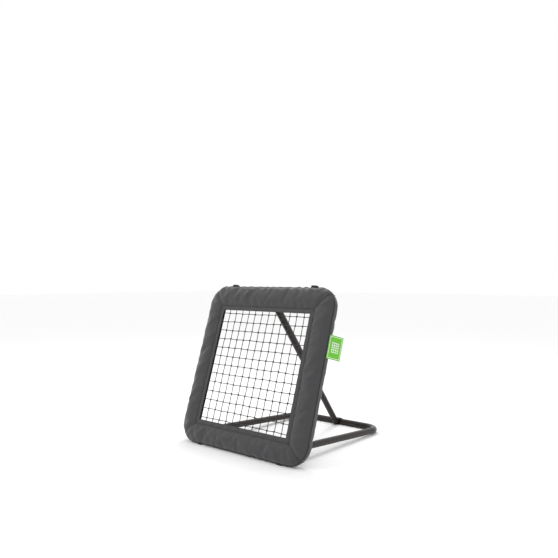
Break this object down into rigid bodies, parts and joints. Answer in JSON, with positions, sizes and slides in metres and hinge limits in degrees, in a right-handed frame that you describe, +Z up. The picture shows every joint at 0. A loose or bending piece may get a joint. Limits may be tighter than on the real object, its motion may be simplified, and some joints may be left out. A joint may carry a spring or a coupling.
{
  "type": "pitch back rebounder",
  "caption": "Square padded frame with a knotted net, leaning back on a folding tube base and a telescopic strut with a clamp knob.",
  "frame": {"origin": "on the floor, in the middle of the line where the plane of the padded face meets the floor", "axes": "+X to the right as seen from in front of the net, -Y towards the player, +Z up"},
  "size_m": [0.8709, 0.8714, 0.82],
  "materials": {
    "powder_coated_steel": "gloss",
    "black_zinc_steel": "satin",
    "foot_rubber": "matte",
    "cover_fabric": "satin",
    "pad_foam": "matte",
    "net_cord": "matte",
    "net_webbing": "matte",
    "elastic_band": "matte",
    "label_fabric": "matte",
    "black_nylon": "matte",
    "bush_nylon": "satin"
  },
  "bodies": {
    "net_frame": {"lower_frame_tube": "powder_coated_steel", "upper_frame_tube": "powder_coated_steel", "frame_spigots": "black_zinc_steel", "frame_screws": "black_zinc_steel", "lower_feet": "foot_rubber", "upper_bumpers": "foot_rubber", "foot_bolts": "black_zinc_steel", "cover_top": "cover_fabric", "cover_bottom": "cover_fabric", "cover_left": "cover_fabric", "cover_right": "cover_fabric", "foam_top": "pad_foam", "foam_bottom": "pad_foam", "foam_left": "pad_foam", "foam_right": "pad_foam", "net": "net_cord", "net_border": "net_webbing", "net_elastics": "elastic_band", "net_eyelets": "black_zinc_steel", "side_label": "label_fabric", "hinge_bracket_left": "powder_coated_steel", "hinge_bracket_right": "powder_coated_steel", "strut_head_bracket": "powder_coated_steel", "base_hinge_bolts": "black_zinc_steel", "strut_head_bolt": "black_zinc_steel", "lock_nuts": "black_zinc_steel", "pivot_washers": "black_zinc_steel"},
    "base": {"left_leg": "powder_coated_steel", "right_leg": "powder_coated_steel", "rear_bar": "powder_coated_steel", "base_spigots": "black_zinc_steel", "base_screws": "black_zinc_steel", "leg_bushes": "bush_nylon", "leg_ends": "powder_coated_steel", "foot_catch": "powder_coated_steel", "catch_screws": "black_zinc_steel"},
    "strut_outer": {"strut_outer_tube": "powder_coated_steel", "strut_head": "powder_coated_steel", "strut_head_bush": "bush_nylon", "strut_head_rivet": "black_zinc_steel", "clamp_collar": "black_nylon"},
    "clamp_knob": {"clamp_knob": "black_nylon", "clamp_stud": "black_zinc_steel"},
    "strut_inner": {"strut_inner_tube": "powder_coated_steel", "strut_glide": "bush_nylon", "strut_foot": "powder_coated_steel", "strut_foot_rivet": "black_zinc_steel"}
  },
  "joints": [
    {"name": "base_fold", "type": "hinge", "parent": "net_frame", "child": "base", "pos_m": [0, 0.10728, 0.05839], "axis": [1, 0, 0], "range_deg": [0, 75.55]},
    {"name": "strut_swing", "type": "hinge", "parent": "net_frame", "child": "strut_outer", "pos_m": [0, 0.31286, 0.70647], "axis": [-1, 0, 0], "range_deg": [0, 55.05]},
    {"name": "strut_slide", "type": "slide", "parent": "strut_outer", "child": "strut_inner", "axis": [0, -0.6053, 0.796], "range_m": [0, 0.3105]},
    {"name": "knob_turn", "type": "hinge", "parent": "strut_outer", "child": "clamp_knob", "pos_m": [0, 0.60702, 0.3196], "axis": [1, 0, 0], "range_deg": [0, 360]}
  ],
  "couplings": [
    {"joint": "strut_swing", "follows": "base_fold", "ratio": 0.72592},
    {"joint": "strut_slide", "follows": "base_fold", "m_per_rad": 0.23508}
  ]
}
